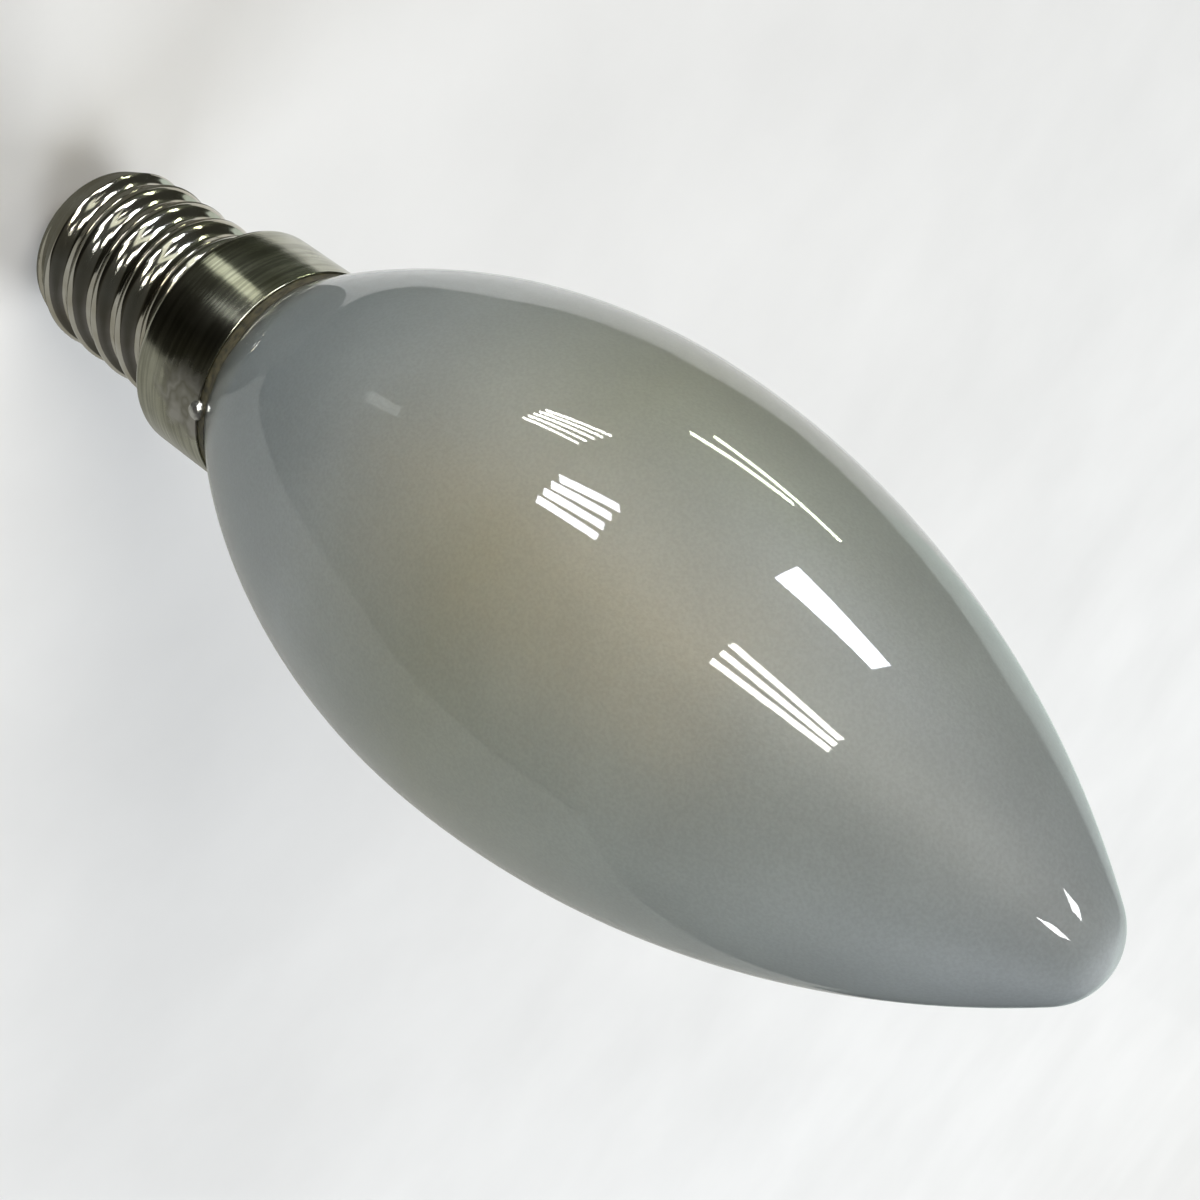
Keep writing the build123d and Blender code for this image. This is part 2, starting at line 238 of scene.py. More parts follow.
bm = bmesh.new()
first = start_at(bm, LIP_RADIUS, CAP_END)
vert = run_to(bm, first, end_x, CAP_END)
vert = arc_about(bm, vert, end_x, end_height, lead_angle, 8)
vert = thread_run(bm, vert, ROOT_RADIUS, SHOULDER_HEIGHT)
vert = run_to(bm, vert, shoulder_edge, SHOULDER_HEIGHT)
vert = arc_about(bm, vert, shoulder_edge, skirt_low, pi / 2, 10)
vert = run_to(bm, vert, SKIRT_RADIUS, CAP_RIM - RIM_ROUND)
vert = arc_about(bm, vert, SKIRT_RADIUS - RIM_ROUND, CAP_RIM - RIM_ROUND, pi / 2, 5)
vert = run_to(bm, vert, SKIRT_RADIUS - SHEET + RIM_ROUND, CAP_RIM)
vert = arc_about(bm, vert, SKIRT_RADIUS - SHEET + RIM_ROUND, CAP_RIM - RIM_ROUND, pi / 2, 5)
vert = run_to(bm, vert, SKIRT_RADIUS - SHEET, skirt_low)
vert = arc_about(bm, vert, shoulder_edge, skirt_low, -pi / 2, 10)
vert = run_to(bm, vert, ROOT_RADIUS - SHEET, SHOULDER_HEIGHT + SHEET)
vert = thread_run(bm, vert, *inner_end)
vert = arc_about(bm, vert, end_x, end_height, -lead_angle, 8)
vert = run_to(bm, vert, LIP_RADIUS, CAP_END + SHEET)
bm.edges.new((vert, first))
full_turn(bm, ROUND_STEPS)
print("points of the smooth shell:", len(bm.verts))

# %% Rolling the thread
ROUNDING = 0.01
sheet_middle = ROOT_RADIUS - SHEET / 2
rolled = 0
for vert in bm.verts:
    height, radius, angle = vert.co.z / MM, vert.co.xy.length / MM, atan2(vert.co.y, vert.co.x)
    inset, lowest = (0, outer_end[1]) if radius > sheet_middle else (SHEET, inner_end[1])
    if radius < ROOT_RADIUS + SHEET and height > lowest - ROUNDING:
        vert.co.xy *= thread_radius(angle, height, inset) / radius
        rolled += 1
print("points moved by the wave:", rolled)
shell = lamp_piece(bm, "screw_cap", "screw_shell")

# %% [markdown]
# ## The end of the cap
# A black glass plug fills the opening inside the lip and keeps the end contact away from the shell.
# The contact is a pressed disc with a soft edge. Both are turned from a section, and the corners that
# pressing and moulding leave round are drawn as small arcs.

# %% Insulating plug
PLUG_TOP, FLANGE_RADIUS, PLUG_FACE, PLUG_ROUND = 4.6, 5.445, 3.745, 0.2
SHANK_RADIUS, CONTACT_RADIUS, CONTACT_TOP = 0.9, 2.8, 0.7
cone_angle = atan2(CAP_END - CONTACT_TOP, LIP_RADIUS - PLUG_FACE)

bm = bmesh.new()
first = start_at(bm, SHANK_RADIUS, CONTACT_TOP)
vert = run_to(bm, first, PLUG_FACE - PLUG_ROUND, CONTACT_TOP)
vert = arc_about(bm, vert, PLUG_FACE - PLUG_ROUND, CONTACT_TOP + PLUG_ROUND, cone_angle, 6)
vert = run_to(bm, vert, LIP_RADIUS, CAP_END)
vert = run_to(bm, vert, LIP_RADIUS, CAP_END + SHEET)
vert = run_to(bm, vert, FLANGE_RADIUS, CAP_END + SHEET)
vert = run_to(bm, vert, FLANGE_RADIUS, PLUG_TOP)
vert = run_to(bm, vert, SHANK_RADIUS, PLUG_TOP)
bm.edges.new((vert, first))
full_turn(bm, 128)
plug = lamp_piece(bm, "insulating_plug", "base_insulator")

# %% End contact
SHANK_TOP, CONTACT_ROUND = 5.0, 0.3

bm = bmesh.new()
vert = start_at(bm, 0, 0)
vert = run_to(bm, vert, CONTACT_RADIUS - CONTACT_ROUND, 0)
vert = arc_about(bm, vert, CONTACT_RADIUS - CONTACT_ROUND, CONTACT_ROUND, pi / 2, 8)
vert = run_to(bm, vert, CONTACT_RADIUS, CONTACT_TOP)
vert = run_to(bm, vert, SHANK_RADIUS, CONTACT_TOP)
vert = run_to(bm, vert, SHANK_RADIUS, SHANK_TOP)
vert = run_to(bm, vert, 0, SHANK_TOP)
full_turn(bm, 96)
contact = lamp_piece(bm, "end_contact", "centre_contact")

# %% [markdown]
# ## The solder on the rim
# The neutral wire ends at the rim under a small drop of solder. A drop that has run and set is never
# a ball, so a fine ball is pushed in and out by noise with a fixed seed and pressed flat along the rim.

# %% Solder drop
DROP_RADIUS, DROP_ANGLE = 0.8, radians(-52)
DROP_FILL, DROP_PRESS = 0.92, (0.92, 1.0, 0.9)
LUMP_SIZE, LUMP_DEPTH, RIPPLE_SIZE, RIPPLE_DEPTH = 0.77, 0.14, 0.25, 0.03
rim_middle = SKIRT_RADIUS - SHEET / 2

bm = bmesh.new()
bmesh.ops.create_icosphere(bm, subdivisions=5, radius=DROP_RADIUS * MM)
for vert in bm.verts:
    swell = noise.noise(vert.co / (LUMP_SIZE * MM) + Vector((3.1, 0.4, 7.7)))
    ripple = noise.noise(vert.co / (RIPPLE_SIZE * MM) + Vector((9.2, 5.5, 1.3)))
    vert.co *= DROP_FILL + LUMP_DEPTH * swell + RIPPLE_DEPTH * ripple
bmesh.ops.scale(bm, vec=DROP_PRESS, verts=bm.verts)
bmesh.ops.translate(bm, vec=(rim_middle * MM, 0, CAP_RIM * MM), verts=bm.verts)
bmesh.ops.rotate(bm, cent=(0, 0, 0), matrix=Matrix.Rotation(DROP_ANGLE, 3, "Z"), verts=bm.verts)
drop = lamp_piece(bm, "solder_drop", "side_solder")

# %% [markdown]
# ## The cement at the rim
# When the glass is pressed into the cap, a little cement comes up between the rim and the glass and
# sets there as an uneven brown bead. The solid of the cement ends under the rim, so the bead is a ring
# of its own: its inner side follows the two arcs of the glass, its outer side comes down to the middle
# of the rim, and its upper edge wanders along the glass with noise.

# %% Cement bead
BEAD_LOW, BEAD_CLIMB, BEAD_GAP = 24.2, 1.15, 0.02
BEAD_WANDER, WANDER_LENGTH = 0.4, 2.2
bead_start = asin((BEAD_LOW - fillet_height) / NECK_FILLET)
bead_fillet = NECK_FILLET - BEAD_GAP
bead_bore = SKIRT_RADIUS - SHEET - BEAD_GAP
outer_side = [(SKIRT_RADIUS - 0.02, CAP_RIM + 0.6), (SKIRT_RADIUS - 0.08, CAP_RIM + 0.3),
              (rim_middle, CAP_RIM + BEAD_GAP), (bead_bore, CAP_RIM - RIM_ROUND), (bead_bore, BEAD_LOW)]

bm = bmesh.new()
first = start_at(bm, fillet_x - bead_fillet * cos(bead_start), fillet_height + bead_fillet * sin(bead_start))
vert = arc_about(bm, first, fillet_x, fillet_height, bead_start - shoulder_turn, 6)
vert = arc_about(bm, vert, shoulder_x, BELLY_HEIGHT, BEAD_CLIMB / shoulder_arc, 4)
for radius, height in outer_side:
    vert = run_to(bm, vert, radius, height)
bm.edges.new((vert, first))
full_turn(bm, ROUND_STEPS)
for vert in bm.verts:
    lift = max(vert.co.z / MM - CAP_RIM, 0) / BEAD_CLIMB
    wander = noise.noise(vert.co / (WANDER_LENGTH * MM) + Vector((1.7, 8.1, 2.9)))
    outward = (vert.co.xy.normalized() * sin(shoulder_turn)).to_3d()
    along_glass = outward + Vector((0, 0, cos(shoulder_turn)))
    vert.co += along_glass * lift * wander * BEAD_WANDER * MM
bead = lamp_piece(bm, "cement_bead")

# %% [markdown]
# ## Materials
# Colours are written as sRGB hex values and turned to linear by one function. One small function adds
# a node, sets its properties and sockets, and links it. Patterns read Object coordinates, which are
# metres here, so a scale is worked out from a real size in millimetres.

# %% Material helpers
def linear(hex_colour):
    """An sRGB hex value as a linear colour with full alpha."""
    parts = [int(hex_colour[i:i + 2], 16) / 255 for i in (1, 3, 5)]
    return [c / 12.92 if c <= 0.04045 else ((c + 0.055) / 1.055) ** 2.4 for c in parts] + [1]


def add(tree, kind, settings=None, stops=(), **sockets):
    """Adds a node. A socket is named, or s0, s1 and so on, and takes a value, a node or an output."""
    node = tree.nodes.new(kind)
    for name, value in (settings or {}).items():
        setattr(node, name, value)
    for _ in stops[2:]:
        node.color_ramp.elements.new(0.5)
    for number, (position, colour) in enumerate(stops):
        node.color_ramp.elements[number].position = position
        node.color_ramp.elements[number].color = linear(colour)
    for name, value in sockets.items():
        by_number = name[0] == "s" and name[1:].isdigit()
        socket = node.inputs[int(name[1:]) if by_number else name.replace("_", " ")]
        if isinstance(value, bpy.types.Node):
            value = next(output for output in value.outputs if output.enabled)
        if isinstance(value, bpy.types.NodeSocket):
            tree.links.new(value, socket)
        else:
            socket.default_value = value
    return node


def finish_named(name):
    """A new material with an empty tree and its output."""
    material = bpy.data.materials.new(name)
    material.use_nodes = True
    material.node_tree.nodes.clear()
    tree = material.node_tree
    return material, tree, add(tree, "ShaderNodeOutputMaterial")


def per_metre(size_mm):
    """The texture scale that gives features of about this size."""
    return 1 / (size_mm * MM)


def dress(material, *objects):
    """Gives objects of the lamp or the studio their finish."""
    for item in objects:
        item.data.materials.clear()
        item.data.materials.append(material)
    print(material.name, "on", ", ".join(item.name for item in objects))


print("middle grey #808080 is", round(linear("#808080")[0], 3), "in linear light")

# %% [markdown]
# ### Frosted glass
# The wall is soda-lime glass, smooth outside and satin from the frosting. Light that enters it is
# scattered, so the inside shows only as a soft glow, while lamps in the room are mirrored sharply on
# the smooth skin. One shader does both: a rough, half transmitting body under a clear coat. Scattering
# could be traced inside the wall instead, but that is slow and grainy. The grey changes slowly along the
# lamp. It is darkest at the rim, where no light comes from behind, and that darkening is painted shade.
# A warmer band round the middle is a painted glow of the filaments inside. The real grain of the frosting
# is finer than a tenth of a millimetre and wouldn't show, so it is drawn coarser.

# %% Satin frosted soda-lime glass
frosted_glass, tree, out = finish_named("satin_frosted_glass")
place = add(tree, "ShaderNodeTexCoord").outputs["Object"]
height = add(tree, "ShaderNodeSeparateXYZ", s0=place).outputs["Z"]
along = add(tree, "ShaderNodeMapRange", Value=height, From_Min=NECK_END * MM, From_Max=TIP_HEIGHT * MM)
# Along Z: painted shade darkens the rim, and a painted warm glow of the filaments lies round the middle.
painted_shade_and_glow = add(tree, "ShaderNodeValToRGB", s0=along, stops=[
    (0.068, "#6b6a58"), (0.085, "#949a95"), (0.12, "#a3afb4"), (0.3, "#b9c1c1"), (0.48, "#b4b9ab"),
    (0.66, "#b8bfb9"), (0.95, "#bdc4c6")])
cloud = add(tree, "ShaderNodeTexNoise", Vector=place, Scale=per_metre(7), Detail=3)
patchy = add(tree, "ShaderNodeValToRGB", s0=cloud, stops=[(0.3, "#f4f4f4"), (0.7, "#ffffff")])
grain = add(tree, "ShaderNodeTexNoise", Vector=place, Scale=per_metre(0.22), Detail=2)
speckled = add(tree, "ShaderNodeValToRGB", s0=grain, stops=[(0.35, "#f0f0f0"), (0.65, "#ffffff")])
blend = {"data_type": "RGBA", "blend_type": "MULTIPLY"}
body = add(tree, "ShaderNodeMix", blend, s0=1.0, s6=painted_shade_and_glow, s7=patchy)
frost = add(tree, "ShaderNodeMix", blend, s0=1.0, s6=body, s7=speckled)
satin = add(tree, "ShaderNodeMapRange", Value=grain, To_Min=0.46, To_Max=0.6)
etched = add(tree, "ShaderNodeBump", Strength=0.5, Distance=0.03 * MM, Height=grain)
shader = add(tree, "ShaderNodeBsdfPrincipled", Base_Color=frost, Roughness=satin, IOR=1.5,
             Transmission_Weight=0.55, Coat_Weight=1.0, Coat_Roughness=0.015, Coat_IOR=1.5, Normal=etched)
tree.links.new(shader.outputs[0], out.inputs[0])
dress(frosted_glass, glass)

# %% [markdown]
# ### Nickel plate
# The cap is brass sheet, deep drawn, rolled and bright nickel plated. Drawing scores fine lines round
# the skirt, which cross its highlight, and pressing and rolling leave shallow dents. Handling leaves a
# thin brownish tarnish and soft dull marks. The skirt's plate is also darker than the thread's, which
# dims all that the skirt mirrors: that darkening is painted shade. The lines could be scored into the
# mesh, but they are far too fine for it. They come from noise that is squeezed along Z and long in X and
# Y, so they run round the cap without a seam, and they are coarser than real ones so that they show.
# Near the solder, tin has wetted the plate in a dull irregular patch.

# %% Bright nickel plate on drawn brass, lines and dents
LINE_LENGTH, LINE_WIDTH, DENT_SIZE = 9, 0.28, 1.5
nickel, tree, out = finish_named("bright_nickel_plate")
place = add(tree, "ShaderNodeTexCoord").outputs["Object"]
height = add(tree, "ShaderNodeSeparateXYZ", s0=place).outputs["Z"]
squeezed = add(tree, "ShaderNodeMapping", Vector=place,
               Scale=(per_metre(LINE_LENGTH), per_metre(LINE_LENGTH), per_metre(LINE_WIDTH)))
lines = add(tree, "ShaderNodeTexNoise", Vector=squeezed, Scale=1.0, Detail=3)
on_skirt = add(tree, "ShaderNodeMapRange", Value=height, From_Min=(SHOULDER_HEIGHT - 0.4) * MM,
               From_Max=skirt_low * MM, To_Min=0.1, To_Max=1.0)
marks = add(tree, "ShaderNodeMath", {"operation": "MULTIPLY"}, s0=lines, s1=on_skirt)
drawn = add(tree, "ShaderNodeBump", Strength=0.7, Distance=0.014 * MM, Height=marks)
dents = add(tree, "ShaderNodeTexNoise", Vector=place, Scale=per_metre(DENT_SIZE), Detail=1)
uneven = add(tree, "ShaderNodeBump", Strength=0.4, Distance=0.05 * MM, Height=dents, Normal=drawn)
print("drawn lines about", LINE_WIDTH, "mm wide, dents about", DENT_SIZE, "mm")

# %% Tarnish, painted shade and tin on the plate
SMEAR_DROP, SMEAR_REACH, SMEAR_EDGE, SMEAR_RAGGED = 1.4, 3.7, 4.9, 3.2
stain = add(tree, "ShaderNodeTexNoise", Vector=place, Scale=per_metre(3.5), Detail=4)
bright = add(tree, "ShaderNodeValToRGB", s0=stain, stops=[(0.35, "#dad7cf"), (0.7, "#bdb6a4")])
# The skirt's plate has an olive tarnish tint, and it is darker than the thread's as painted shade that dims
# what it mirrors.
tarnish_and_painted_shade = add(tree, "ShaderNodeValToRGB", s0=stain, stops=[(0.3, "#c9c9ba"), (0.7, "#a6a591")])
scored = add(tree, "ShaderNodeValToRGB", s0=lines, stops=[(0.42, "#a4a4a4"), (0.58, "#ffffff")])
lined = add(tree, "ShaderNodeMix", blend, s0=0.45, s6=tarnish_and_painted_shade, s7=scored)
plate = add(tree, "ShaderNodeMix", {"data_type": "RGBA"}, s0=on_skirt, s6=bright, s7=lined)
smear_middle = Vector((rim_middle * cos(DROP_ANGLE), rim_middle * sin(DROP_ANGLE), CAP_RIM - SMEAR_DROP)) * MM
reach = add(tree, "ShaderNodeVectorMath", {"operation": "DISTANCE"}, s0=place, s1=smear_middle)
ragged = add(tree, "ShaderNodeTexNoise", Vector=place, Scale=per_metre(1.1), Detail=3)
edge = add(tree, "ShaderNodeMath", {"operation": "MULTIPLY_ADD"}, s0=ragged, s1=SMEAR_RAGGED * MM, s2=reach)
wetted = add(tree, "ShaderNodeMapRange", Value=edge, From_Min=SMEAR_EDGE * MM, From_Max=SMEAR_REACH * MM)
run_out = add(tree, "ShaderNodeTexNoise", Vector=place, Scale=per_metre(2.2), Detail=2)
tinned = add(tree, "ShaderNodeValToRGB", s0=run_out, stops=[
    (0.34, "#b8b6b0"), (0.46, "#918f84"), (0.55, "#b1afa8"), (0.68, "#87857a")])
metal = add(tree, "ShaderNodeMix", {"data_type": "RGBA"}, s0=wetted, s6=plate, s7=tinned)
swirl = add(tree, "ShaderNodeMath", {"operation": "MULTIPLY"}, s0=run_out, s1=wetted)
flowed = add(tree, "ShaderNodeBump", Strength=0.12, Distance=0.1 * MM, Height=swirl, Normal=uneven)
print("tinned patch round", [round(c / MM, 1) for c in smear_middle], "mm")

# %% Gloss of the plate
sheen = add(tree, "ShaderNodeMapRange", Value=marks, From_Min=0.05, From_Max=0.7, To_Min=0.12, To_Max=0.2)
fingers = add(tree, "ShaderNodeTexNoise", Vector=place, Scale=per_metre(4), Detail=1)
smudge = add(tree, "ShaderNodeMapRange", Value=fingers, From_Min=0.45, From_Max=0.75, To_Max=0.1)
handled = add(tree, "ShaderNodeMath", {"operation": "MULTIPLY_ADD"}, s0=smudge, s1=on_skirt, s2=sheen)
dulled = add(tree, "ShaderNodeMath", {"operation": "MULTIPLY_ADD"}, s0=wetted, s1=0.16, s2=handled)
shader = add(tree, "ShaderNodeBsdfPrincipled", Base_Color=metal, Metallic=1.0, Roughness=dulled,
             Normal=flowed)
tree.links.new(shader.outputs[0], out.inputs[0])
dress(nickel, shell)

# %% [markdown]
# ### The end of the cap, the solder and the cement
# The plug is black moulded glass with a slightly wavy skin. The contact is pressed and faintly turned,
# so its rings follow the distance from the axis. Solder sets bright with a fine frosty grain. The
# cement is a brown cured resin that shows only as a dark line between the rim and the glass.

# %% Black moulded glass
black_glass, tree, out = finish_named("black_moulded_glass")
place = add(tree, "ShaderNodeTexCoord").outputs["Object"]
wavy = add(tree, "ShaderNodeTexNoise", Vector=place, Scale=per_metre(1.6), Detail=2)
skin = add(tree, "ShaderNodeBump", Strength=0.3, Distance=0.06 * MM, Height=wavy)
black = add(tree, "ShaderNodeValToRGB", s0=wavy, stops=[(0.3, "#0d0d10"), (0.7, "#1b1a1c")])
gloss = add(tree, "ShaderNodeMapRange", Value=wavy, To_Min=0.1, To_Max=0.24)
shader = add(tree, "ShaderNodeBsdfPrincipled", Base_Color=black, Roughness=gloss, IOR=1.55,
             Normal=skin)
tree.links.new(shader.outputs[0], out.inputs[0])
dress(black_glass, plug)

# %% Pressed contact metal
contact_metal, tree, out = finish_named("pressed_contact_metal")
place = add(tree, "ShaderNodeTexCoord").outputs["Object"]
flat = add(tree, "ShaderNodeVectorMath", {"operation": "MULTIPLY"}, s0=place, s1=(1, 1, 0))
from_axis = add(tree, "ShaderNodeVectorMath", {"operation": "LENGTH"}, s0=flat)
rings = add(tree, "ShaderNodeTexNoise", {"noise_dimensions": "1D"}, W=from_axis,
            Scale=per_metre(0.18), Detail=3)
turned = add(tree, "ShaderNodeBump", Strength=0.4, Distance=0.02 * MM, Height=rings)
worn = add(tree, "ShaderNodeTexNoise", Vector=place, Scale=per_metre(1.2), Detail=4)
colour = add(tree, "ShaderNodeValToRGB", s0=worn, stops=[(0.35, "#cbc6ba"), (0.7, "#a89f8d")])
satin = add(tree, "ShaderNodeMapRange", Value=worn, To_Min=0.2, To_Max=0.38)
shader = add(tree, "ShaderNodeBsdfPrincipled", Base_Color=colour, Metallic=1.0, Roughness=satin,
             Normal=turned)
tree.links.new(shader.outputs[0], out.inputs[0])
dress(contact_metal, contact)

# %% Tin solder
solder, tree, out = finish_named("tin_solder")
place = add(tree, "ShaderNodeTexCoord").outputs["Object"]
frosty = add(tree, "ShaderNodeTexNoise", Vector=place, Scale=per_metre(0.2), Detail=3)
colour = add(tree, "ShaderNodeValToRGB", s0=frosty, stops=[(0.3, "#e8e8e4"), (0.75, "#c6c5c0")])
bright = add(tree, "ShaderNodeMapRange", Value=frosty, To_Min=0.24, To_Max=0.44)
set_skin = add(tree, "ShaderNodeBump", Strength=0.3, Distance=0.03 * MM, Height=frosty)
shader = add(tree, "ShaderNodeBsdfPrincipled", Base_Color=colour, Metallic=1.0, Roughness=bright,
             Normal=set_skin)
tree.links.new(shader.outputs[0], out.inputs[0])
dress(solder, drop)

# %% Cured resin cement
cement, tree, out = finish_named("cured_resin_cement")
place = add(tree, "ShaderNodeTexCoord").outputs["Object"]
lumps = add(tree, "ShaderNodeTexNoise", Vector=place, Scale=per_metre(0.5), Detail=4)
colour = add(tree, "ShaderNodeValToRGB", s0=lumps, stops=[(0.3, "#2d2b1b"), (0.7, "#5a5438")])
dull = add(tree, "ShaderNodeMapRange", Value=lumps, To_Min=0.5, To_Max=0.8)
crust = add(tree, "ShaderNodeBump", Strength=0.6, Distance=0.1 * MM, Height=lumps)
shader = add(tree, "ShaderNodeBsdfPrincipled", Base_Color=colour, Roughness=dull, Normal=crust)
tree.links.new(shader.outputs[0], out.inputs[0])
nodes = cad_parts
dress(cement, nodes["cap_cement"], bead)

# %% [markdown]
# ### Inside the glass
# The four filaments are rows of small diodes under yellow phosphor in silicone, and they are what
# shows through the frosting as a warm patch. A phosphor turns a little of the blue part of daylight into
# yellow, but the shader gives it a much stronger painted glow, so that the warm patch shows. The stem is
# clear glass with faint drawn streaks, and the wires are nickel. The board and its parts sit in the cap,
# out of sight. They have one kind of finish with other tones, grain and gloss, so a function makes it.

# %% Phosphor in silicone, with a painted glow
phosphor, tree, out = finish_named("phosphor_in_silicone_painted_glow")
place = add(tree, "ShaderNodeTexCoord").outputs["Object"]
grainy = add(tree, "ShaderNodeTexNoise", Vector=place, Scale=per_metre(0.3), Detail=3)
colour = add(tree, "ShaderNodeValToRGB", s0=grainy, stops=[(0.3, "#e8a93a"), (0.7, "#f4c765")])
matt = add(tree, "ShaderNodeMapRange", Value=grainy, To_Min=0.45, To_Max=0.65)
# The emission is a painted glow: the lamp is not lit, and nothing lights the filaments from inside.
shader = add(tree, "ShaderNodeBsdfPrincipled", Base_Color=colour, Roughness=matt,
             Emission_Color=colour, Emission_Strength=1.9)
tree.links.new(shader.outputs[0], out.inputs[0])
dress(phosphor, *[nodes[f"filament_{number}"] for number in (1, 2, 3, 4)])

# %% Clear drawn glass
stem_glass, tree, out = finish_named("clear_drawn_glass")
place = add(tree, "ShaderNodeTexCoord").outputs["Object"]
long_streaks = add(tree, "ShaderNodeMapping", Vector=place,
                   Scale=(per_metre(0.8), per_metre(0.8), per_metre(12)))
streaks = add(tree, "ShaderNodeTexNoise", Vector=long_streaks, Scale=1.0, Detail=2)
polish = add(tree, "ShaderNodeMapRange", Value=streaks, To_Min=0.02, To_Max=0.08)
tint = add(tree, "ShaderNodeValToRGB", s0=streaks, stops=[(0.3, "#eef4f1"), (0.7, "#f8fbfa")])
shader = add(tree, "ShaderNodeBsdfPrincipled", Base_Color=tint, Roughness=polish, IOR=1.52,
             Transmission_Weight=1.0)
tree.links.new(shader.outputs[0], out.inputs[0])
dress(stem_glass, nodes["glass_stem"])


# %% Wires and moulded parts
def plain_finish(name, dark, light, grain_mm, roughness, metallic=0.0):
    """A finish with two close tones and a grain that also changes its roughness."""
    material, tree, out = finish_named(name)
    place = add(tree, "ShaderNodeTexCoord").outputs["Object"]
    speckle = add(tree, "ShaderNodeTexNoise", Vector=place, Scale=per_metre(grain_mm), Detail=3)
    colour = add(tree, "ShaderNodeValToRGB", s0=speckle, stops=[(0.3, dark), (0.7, light)])
    rough = add(tree, "ShaderNodeMapRange", Value=speckle, To_Min=roughness - 0.08, To_Max=roughness + 0.08)
    raised = add(tree, "ShaderNodeBump", Strength=0.3, Distance=0.02 * MM, Height=speckle)
    shader = add(tree, "ShaderNodeBsdfPrincipled", Base_Color=colour, Metallic=metallic, Roughness=rough,
                 Normal=raised)
    tree.links.new(shader.outputs[0], out.inputs[0])
    return material


# Drawn wire is satin grey, and tinned wire is paler.
dress(plain_finish("drawn_nickel_wire", "#a39e94", "#c8c3b8", 0.3, 0.3, 1.0),
      *[nodes[n] for n in ("filament_tabs", "upper_link_front", "upper_link_rear", "lower_link",
                           "lead_wire_front", "lead_wire_rear")])
dress(plain_finish("tinned_copper_wire", "#b5b3ad", "#d3d1cb", 0.3, 0.28, 1.0),
      *[nodes[n] for n in ("contact_lead", "board_lead", "neutral_wire")])
# The board is satin green, its parts matt black, and the fuse has a glossy blue-grey coat.
dress(plain_finish("green_solder_mask", "#1c5432", "#2a6b42", 0.6, 0.4), nodes["driver_board"])
dress(plain_finish("black_epoxy_moulding", "#161616", "#262626", 0.25, 0.55),
      *[nodes[n] for n in ("bridge_rectifier", "current_regulator", "sense_resistor")])
dress(plain_finish("blue_dipped_lacquer", "#5d8290", "#86a7b2", 0.8, 0.25), nodes["fuse_resistor"])

# %% [markdown]
# ## The studio
# The lamp stands on its end contact on a floor of pale paper. Away from the lamp the floor turns into
# the even tone of the backdrop, so no horizon shows. A bent paper sweep would do the same, but its
# shape would stand in the mirror images. Here the pale tone is what the eye sees, straight, mirrored or
# through glass, and it adds no light to the lamp.

# %% Studio helpers
def stage_mesh(bm, name):
    """Makes the mesh a thing of the studio, which isn't part of the lamp."""
    mesh = bpy.data.meshes.new(name)
    bm.to_mesh(mesh)
    bm.free()
    thing = bpy.data.objects.new(name, mesh)
    bpy.context.scene.collection.objects.link(thing)
    thing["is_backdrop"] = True
    return thing


def stage_sheet(name, corners):
    """A flat sheet of the studio from its corners in mm."""
    bm = bmesh.new()
    bm.faces.new([bm.verts.new([c * MM for c in corner]) for corner in corners])
    return stage_mesh(bm, name)


def looked_at(tree):
    """1 for a ray that shows the backdrop to the eye, and 0 for the light that falls on things."""
    rays = add(tree, "ShaderNodeLightPath").outputs
    plain = add(tree, "ShaderNodeMath", s0=rays["Is Camera Ray"], s1=rays["Is Glossy Ray"])
    return add(tree, "ShaderNodeMath", {"use_clamp": True}, s0=plain, s1=rays["Is Transmission Ray"])


# %% Paper floor
BACKDROP, BACKDROP_LEVEL = "#e8e8e5", 0.95
FLOOR_HALF, FADE_NEAR, FADE_FAR = 2500, 250, 900
floor_paper, tree, out = finish_named("pale_floor_paper")
place = add(tree, "ShaderNodeTexCoord").outputs["Object"]
fibre = add(tree, "ShaderNodeTexNoise", Vector=place, Scale=per_metre(30), Detail=4)
pale = add(tree, "ShaderNodeValToRGB", s0=fibre, stops=[(0.3, "#e0e0de"), (0.7, "#e8e8e6")])
paper = add(tree, "ShaderNodeBsdfPrincipled", Base_Color=pale, Roughness=0.9)
from_lamp = add(tree, "ShaderNodeVectorMath", {"operation": "LENGTH"}, s0=place)
distant = add(tree, "ShaderNodeMapRange", Value=from_lamp, From_Min=FADE_NEAR * MM, From_Max=FADE_FAR * MM)
share = add(tree, "ShaderNodeMath", {"operation": "MULTIPLY"}, s0=distant, s1=looked_at(tree))
backdrop = add(tree, "ShaderNodeEmission", Color=linear(BACKDROP), Strength=BACKDROP_LEVEL)
shader = add(tree, "ShaderNodeMixShader", s0=share, s1=paper, s2=backdrop)
tree.links.new(shader.outputs[0], out.inputs[0])
floor = stage_sheet("studio_floor", [(x * FLOOR_HALF, y * FLOOR_HALF, 0)
                                     for x, y in ((-1, -1), (1, -1), (1, 1), (-1, 1))])
dress(floor_paper, floor)

# %% Backdrop
ROOM_LEVEL = 0.055
world = bpy.data.worlds.new("dim_room")
bpy.context.scene.world = world
world.use_nodes = True
tree = world.node_tree
tree.nodes.clear()
level = add(tree, "ShaderNodeMapRange", Value=looked_at(tree), To_Min=ROOM_LEVEL, To_Max=BACKDROP_LEVEL)
sky = add(tree, "ShaderNodeBackground", Color=linear(BACKDROP), Strength=level)
add(tree, "ShaderNodeOutputWorld", Surface=sky)
print("backdrop at", BACKDROP_LEVEL, "to the eye and", ROOM_LEVEL, "as light")

# %% [markdown]
# Three large soft boxes light the lamp: the key from the front left, a cooler fill from the right, and
# one behind that keeps the floor pale. They aren't mirrored, because a box in the smooth glass would be
# a hard white square. What the lamp does mirror is set in the next cells.

